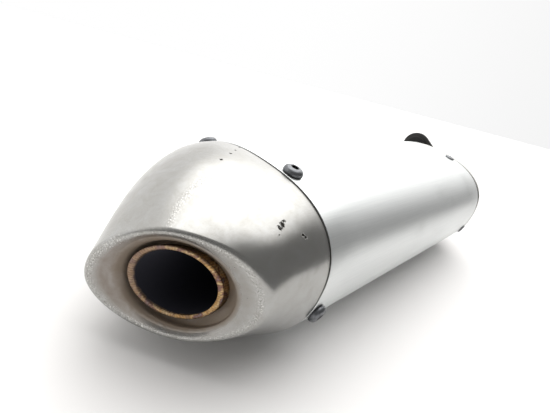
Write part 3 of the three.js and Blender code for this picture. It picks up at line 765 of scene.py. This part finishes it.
def makeInletCap():
    steps = ovalSet["steps"]
    edge = sleeveSet["length"] + sealSpace
    roll, bend, turnIn = capSet["edgeRoll"], inletSet["bend"], capSet["neckBend"]
    outline = [(roll * (1 - math.sin(t)), edge + roll * (1 - math.cos(t))) for t in quarterTurn(5)]
    for t in quarterTurn(15):
        outline.append((bend * (1 - math.cos(t)), edge + inletSet["rim"] + bend * math.sin(t)))
    rows = list(sweepOval(outline, steps))
    rim = rows[-1]
    plateY = edge + inletSet["rim"] + bend
    around = np.arctan2(rim[:, 2] - capSet["faceZ"], rim[:, 0] - tubeSet["x"])
    outside = inletSet["pipeRadius"] + sealSet["gap"] + capSet["wall"]

    def onCollar(radius, y):
        x = tubeSet["x"] + radius * np.cos(around)
        return np.stack([x, np.full_like(x, y), capSet["faceZ"] + radius * np.sin(around)], axis=-1)

    lip = onCollar(outside + turnIn, plateY)
    rows += [rim + t * (lip - rim) for t in (0.33, 0.66, 1.0)]
    for t in quarterTurn(7)[1:]:
        rows.append(onCollar(outside + turnIn * (1 - math.sin(t)), plateY + turnIn * (1 - math.cos(t))))
    rows.append(onCollar(outside, plateY + turnIn + inletSet["collar"]))
    skin = np.array(rows)
    inset = sleeveSet["wall"] + sealSet["gap"]
    tip = sleeveSet["length"] - capSet["spigot"]
    inner = offsetRows(skin[4:], -capSet["wall"])[::-1]
    outer = spigotRows(inset, tip, edge, steps)
    inside = spigotRows(inset + capSet["wall"], tip, edge, steps)[::-1]
    rows = np.concatenate([outer, skin, inner, inside])
    layers = {key: np.zeros(rows.shape[:2]) for key in ("wearAndGlint", "soot", "inFace", "rim")}
    return gridPiece("inlet_cap_skin", rows, attributes=layers, sharp=50.0)


fit(makeInletCap(), capFinish, "pressed_aluminium", "inlet_cap")


# Screws and rivets: both rows stand at the same angles round the oval

screwSet = {
    "angles": (143.0, 82.0, -13.0, -138.0),
    "fromEnd": 6.5,
    "head": 11.5,
    "height": 3.54,
    "edge": 0.3,
    "shank": 6.0,
    "length": 12.0,
    "chamfer": 0.6,
    "key": 4.0,
    "keyDepth": 2.2,
    "gap": 0.3,
    "steps": 60,
}

rivetSet = {"shank": 4.8, "head": 9.6, "height": 1.3, "tail": 7.5, "tailHeight": 4.0, "steps": 48}


# Rings round a line at right angles to the sleeve: radius times direction, plus height times the normal
def onSleeve(rings, turn, degrees, y):
    radii = np.array([np.broadcast_to(r, turn.shape) for r, _ in rings])
    heights = np.array([h for _, h in rings])[:, None, None]
    angle = math.radians(degrees)
    x, z = ovalAt(np.array([angle - 1e-3, angle, angle + 1e-3]))
    normal = np.array([z[2] - z[0], 0.0, -(x[2] - x[0])])
    normal /= np.linalg.norm(normal)
    sideways, along = np.cross(normal, [0.0, 1.0, 0.0]), np.array([0.0, 1.0, 0.0])
    across = (radii * np.cos(turn))[..., None] * sideways + (radii * np.sin(turn))[..., None] * along
    return np.array([x[1], y, z[1]]) + across + heights * normal


# A fastener from its rings, of which the last few are the hollow in its head, which takes painted shade
def ringPiece(name, rings, turn, degrees, y, inHollow):
    hollowShade = np.zeros((len(rings), len(turn)))
    hollowShade[-inHollow:] = 1.0
    rows = onSleeve(rings, turn, degrees, y)
    return gridPiece(name, rows, wrap=False, attributes={"hollowShade": hollowShade}, sharp=40.0)


# Screws: a domed head with a six-sided socket, radius and height given ring by ring
def makeScrew(name, degrees, y):
    turn = ovalAngles(screwSet["steps"])
    flat = screwSet["key"] / 2
    corner = math.pi / 3
    hexagon = flat / np.cos((turn + corner / 2) % corner - corner / 2)
    head, height, shank = screwSet["head"] / 2, screwSet["height"], screwSet["shank"] / 2
    gap, chamfer, length, edge = (screwSet[key] for key in ("gap", "chamfer", "length", "edge"))
    top = gap + height
    deep = top - screwSet["keyDepth"]
    rings = [(0.0, -length), (shank - chamfer, -length), (shank, chamfer - length), (shank, gap)]
    rings += [(head - edge, gap), (head, gap + edge)]
    for t in quarterTurn(12):
        rings.append((head * (0.5 + 0.5 * math.cos(t)), gap + height * (0.2 + 0.8 * math.sin(t))))
    rings += [(head * 0.5 - 0.15, top), (hexagon * 1.1, top - 0.02), (hexagon, top - 0.25)]
    rings += [(hexagon, deep), (hexagon * 0.5, deep - 0.25), (0.0, deep - 0.4)]
    return ringPiece(name, rings, turn, degrees, y, 4)


for number, degrees in enumerate(screwSet["angles"], 1):
    node = f"outlet_screw_{number}"
    fit(makeScrew(node + "_finished", degrees, screwSet["fromEnd"]), fastenerFinish, "stainless_steel", node)


# Blind rivets: a low dome outside, a swollen tail inside, both turned round the shank
def makeBlindRivet(name, degrees, y):
    shank, head, height = rivetSet["shank"] / 2, rivetSet["head"] / 2, rivetSet["height"]
    gap, swell = screwSet["gap"], rivetSet["tail"] / 2 - shank
    tailTop = -(sleeveSet["wall"] + sealSet["gap"] + capSet["wall"]) - gap
    rings = [(0.0, tailTop - rivetSet["tailHeight"])]
    for t in np.linspace(0, math.pi, 7):
        rings.append((shank + swell * math.sin(t), tailTop - rivetSet["tailHeight"] * (1 + math.cos(t)) / 2))
    rings += [(shank, gap), (head, gap)]
    for t in np.linspace(0, 1.25, 8):
        rings.append((head * math.cos(t), gap + height * (0.25 + 0.75 * math.sin(t))))
    top = gap + height
    rings += [(shank * 0.42, top), (shank * 0.4, top - 0.5), (0.0, top - 0.5)]
    return ringPiece(name, rings, ovalAngles(rivetSet["steps"]), degrees, y, 2)


for number, degrees in enumerate(screwSet["angles"], 1):
    node = f"inlet_rivet_{number}"
    rivet = makeBlindRivet(node + "_finished", degrees, sleeveSet["length"] - screwSet["fromEnd"])
    fit(rivet, fastenerFinish, "stainless_steel", node)
print("screws made")

for node, edge, finish, slot in (
    ("inlet_pipe", 0.3, pipeFinish, "stainless_steel"),
    ("mount_bracket", 0.5, paintFinish, "black_painted_steel"),
    ("mount_grommet", 0.6, rubberFinish, "black_rubber"),
    ("mount_bush", 0.3, fastenerFinish, "stainless_steel"),
    ("bracket_rivet_1", 0.2, fastenerFinish, "stainless_steel"),
    ("bracket_rivet_2", 0.2, fastenerFinish, "stainless_steel"),
):
    fit(roundedCopy(node, edge), finish, slot, node)

insideFinishes = {"perforated_core": coreFinish, "glass_wool_packing": woolFinish}
for name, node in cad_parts.items():
    finish = fastenerFinish if "_nut_" in name else insideFinishes.get(name)
    if finish:
        node.data.materials.clear()
        node.data.materials.append(finish)


# Floor, backdrop, light and camera

# Each glow is (turn from +Y towards +X, height above level, full out to, gone past, brightness): the
# wall on the left and two softboxes. The floor ends at a line with the backdrop behind it
roomSet = {
    "floorColour": "#efeeed",
    "backdrop": "#f3f3f3",
    "dark": 0.28,
    "glows": ((-85, 0, 35, 110, 1.1), (-35, 68, 18, 46, 2.5), (-16, 19, 12, 38, 0.8)),
    "whiter": (-75, 0, 35, 80, 1.0),
    "wallAt": (-665.0, 5.0),
    "wallTurn": 12.0,
    "wallBehind": 9.0,
    "wallAhead": 4.0,
    "floorWidth": 6.0,
}

cameraSet = {
    "location": (122.0, -317.5, 164.9),
    "lookAt": (-17.1, -79.9, 45.7),
    "roll": 23.32,
    "lens": 29.13,
    "sensor": 36.0,
}


def plane(name, corners, material):
    mesh = bpy.data.meshes.new(name)
    mesh.from_pydata(corners, [], [(0, 1, 2, 3)])
    mesh.materials.append(material)
    sheet = bpy.data.objects.new(name, mesh)
    bpy.context.collection.objects.link(sheet)
    return sheet


wallX, wallY = (v * mm for v in roomSet["wallAt"])
wallTurn = math.radians(roomSet["wallTurn"])
wallRun = Vector((math.sin(wallTurn), math.cos(wallTurn), 0))
wallPoint = Vector((wallX, wallY, 0))
far, near = wallPoint + wallRun * roomSet["wallBehind"], wallPoint - wallRun * roomSet["wallAhead"]
floorFinish = newMaterial("matt_white_board", 0.0, 0.6, roomSet["floorColour"])[0]
across = Vector((wallRun.y, -wallRun.x, 0)) * roomSet["floorWidth"]
plane("floor", [tuple(near), tuple(near + across), tuple(far + across), tuple(far)], floorFinish)


world = bpy.data.worlds.new("studio")
bpy.context.scene.world = world
world.use_nodes = True
tree = world.node_tree
tree.nodes.clear()
heading = addNode(tree, "ShaderNodeTexCoord").outputs["Generated"]


def towards(turn, height):
    turn, height = math.radians(turn), math.radians(height)
    return (math.cos(height) * math.sin(turn), math.cos(height) * math.cos(turn), math.sin(height))


# Brightness that fades between two angles from a direction
def glow(turn, height, inner, outer, strength):
    facing = addNode(tree, "ShaderNodeVectorMath", {"operation": "DOT_PRODUCT"}, links={0: heading})
    facing.inputs[1].default_value = towards(turn, height)
    values = {"From Min": math.cos(math.radians(outer)), "From Max": math.cos(math.radians(inner))}
    values.update({"To Min": 0.0, "To Max": strength})
    settings = {"interpolation_type": "SMOOTHSTEP", "clamp": True}
    links = {"Value": facing.outputs["Value"]}
    return addNode(tree, "ShaderNodeMapRange", settings, values, links).outputs[0]


room = roomSet["dark"]
for light in roomSet["glows"]:
    room = calc(tree, "ADD", room, glow(*light))
seen = addNode(tree, "ShaderNodeLightPath").outputs["Is Camera Ray"]
lit = addNode(tree, "ShaderNodeBackground", values={"Color": linear("#fffefd")}, links={"Strength": room})
whiter = glow(*roomSet["whiter"])
shade = blendColour(tree, whiter, linear(roomSet["backdrop"]), linear("#ffffff"))
backdrop = addNode(tree, "ShaderNodeBackground", values={"Strength": 1.0}, links={"Color": shade})
both = addNode(tree, "ShaderNodeMixShader", links={0: seen, 1: lit.outputs[0], 2: backdrop.outputs[0]})
addNode(tree, "ShaderNodeOutputWorld", links={"Surface": both.outputs[0]})

cameraData = bpy.data.cameras.new("camera")
cameraData.lens = cameraSet["lens"]
cameraData.sensor_width = cameraSet["sensor"]
camera = bpy.data.objects.new("camera", cameraData)
bpy.context.collection.objects.link(camera)
camera.location = Vector(cameraSet["location"]) * mm
camera.rotation_mode = "QUATERNION"
looking = (Vector(cameraSet["lookAt"]) - Vector(cameraSet["location"])).to_track_quat("-Z", "Y")
camera.rotation_quaternion = looking @ Quaternion((0, 0, 1), math.radians(cameraSet["roll"]))
bpy.context.scene.camera = camera
bpy.context.scene.view_settings.view_transform = "Standard"
print("room, light and camera set")
